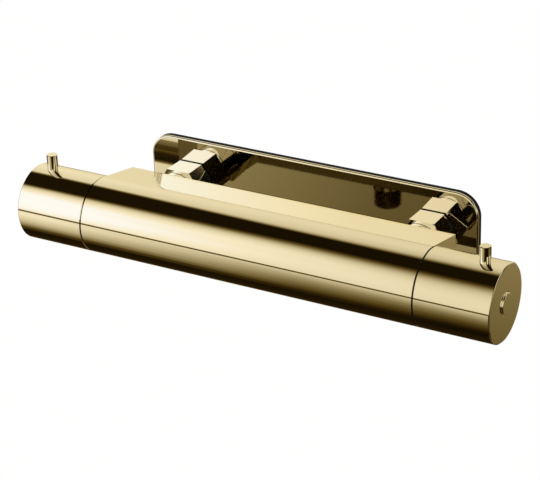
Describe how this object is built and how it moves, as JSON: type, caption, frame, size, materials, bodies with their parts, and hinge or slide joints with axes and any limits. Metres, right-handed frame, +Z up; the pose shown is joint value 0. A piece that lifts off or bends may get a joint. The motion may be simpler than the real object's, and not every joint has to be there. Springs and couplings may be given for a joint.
{
  "type": "shower mixer",
  "caption": "Exposed wall-mounted thermostatic shower mixer: a round bar body with a turning handle at each end, on a shared wall plate.",
  "frame": {"origin": "wall face, midway between the two inlets", "axes": "+X along the bar to the flow handle, +Y into the wall, +Z up"},
  "size_m": [0.2838, 0.0975, 0.0631],
  "materials": {
    "polished_gold_brass": "mirror-polished light gold plating on brass",
    "bright_brass": "bare machined brass",
    "copper": "drawn copper capsule",
    "spring_steel": "bright stainless steel",
    "white_acetal": "moulded acetal",
    "grey_acetal": "moulded acetal",
    "black_acetal": "moulded acetal",
    "black_rubber": "moulded nitrile rubber",
    "black_foam": "closed-cell foam sheet",
    "red_fibre": "pressed vulcanised fibre",
    "alumina_ceramic": "lapped alumina"
  },
  "bodies": {
    "root": {"mixer_body": "polished_gold_brass", "wall_plate": "polished_gold_brass", "wall_plate_foam": "black_foam", "outlet_nipple": "polished_gold_brass", "nipple_seals": "red_fibre", "thermostatic_cartridge": "white_acetal", "cartridge_rings": "black_rubber", "thermostat_gland_nut": "bright_brass", "thermostat_spring": "spring_steel", "flow_cartridge": "bright_brass", "flow_cartridge_gasket": "black_rubber", "seat_seal": "black_rubber", "fixed_disc": "alumina_ceramic", "wall_union_left": "bright_brass", "plate_grommet_left": "black_rubber", "union_nut_left": "polished_gold_brass", "inlet_nipple_left": "bright_brass", "inlet_washer_left": "red_fibre", "inlet_strainer_left": "spring_steel", "check_valve_cage_left": "grey_acetal", "check_valve_spring_left": "spring_steel", "glide_ring_left": "black_acetal", "wall_union_right": "bright_brass", "plate_grommet_right": "black_rubber", "union_nut_right": "polished_gold_brass", "inlet_nipple_right": "bright_brass", "inlet_washer_right": "red_fibre", "inlet_strainer_right": "spring_steel", "check_valve_cage_right": "grey_acetal", "check_valve_spring_right": "spring_steel", "glide_ring_right": "black_acetal", "temperature_stop_ring": "white_acetal", "flow_stop_ring": "white_acetal"},
    "temperature_handle": {"temperature_spindle": "bright_brass", "temperature_spindle_rings": "black_rubber", "temperature_circlip": "spring_steel", "temperature_handle_insert": "white_acetal", "temperature_handle": "polished_gold_brass", "temperature_handle_pin": "polished_gold_brass", "temperature_handle_screw": "spring_steel", "temperature_button_spring": "spring_steel"},
    "temperature_button": {"temperature_button": "polished_gold_brass"},
    "thermostat_slide": {"temperature_adjuster": "white_acetal", "overload_cap": "bright_brass", "overload_spring": "spring_steel", "wax_element": "copper", "shuttle": "grey_acetal", "shuttle_seal": "black_rubber"},
    "flow_handle": {"flow_spindle": "bright_brass", "flow_spindle_rings": "black_rubber", "flow_circlip": "spring_steel", "moving_disc": "alumina_ceramic", "flow_handle_insert": "white_acetal", "flow_handle": "polished_gold_brass", "flow_handle_pin": "polished_gold_brass", "flow_handle_screw": "spring_steel", "flow_button_spring": "spring_steel"},
    "flow_button": {"flow_button": "polished_gold_brass"},
    "check_poppet_left": {"check_valve_poppet_left": "white_acetal"},
    "check_poppet_right": {"check_valve_poppet_right": "white_acetal"}
  },
  "joints": [
    {"name": "temperature_turn", "type": "hinge", "parent": "root", "child": "temperature_handle", "pos_m": [0, -0.0613, 0], "axis": [1, 0, 0], "range_deg": [-150, 60]},
    {"name": "flow_turn", "type": "hinge", "parent": "root", "child": "flow_handle", "pos_m": [0, -0.0613, 0], "axis": [1, 0, 0], "range_deg": [0, 90]},
    {"name": "thermostat_slide", "type": "slide", "parent": "root", "child": "thermostat_slide", "axis": [1, 0, 0], "range_m": [-0.00065, 0.0003], "deforming": ["thermostat_spring"]},
    {"name": "temperature_button_press", "type": "slide", "parent": "temperature_handle", "child": "temperature_button", "axis": [1, 0, 0], "range_m": [0, 0.0016], "stiffness_N_per_m": 600, "springref_m": -0.002, "deforming": ["temperature_button_spring"]},
    {"name": "flow_button_press", "type": "slide", "parent": "flow_handle", "child": "flow_button", "axis": [-1, 0, 0], "range_m": [0, 0.0016], "stiffness_N_per_m": 600, "springref_m": -0.002, "deforming": ["flow_button_spring"]},
    {"name": "check_valve_left", "type": "slide", "parent": "root", "child": "check_poppet_left", "axis": [0, -1, 0], "range_m": [0, 0.0025], "stiffness_N_per_m": 60, "springref_m": -0.002, "deforming": ["check_valve_spring_left"]},
    {"name": "check_valve_right", "type": "slide", "parent": "root", "child": "check_poppet_right", "axis": [0, -1, 0], "range_m": [0, 0.0025], "stiffness_N_per_m": 60, "springref_m": -0.002, "deforming": ["check_valve_spring_right"]}
  ],
  "couplings": [
    {"joint": "thermostat_slide", "follows": "temperature_turn", "m_per_rad": 0.00023873}
  ]
}
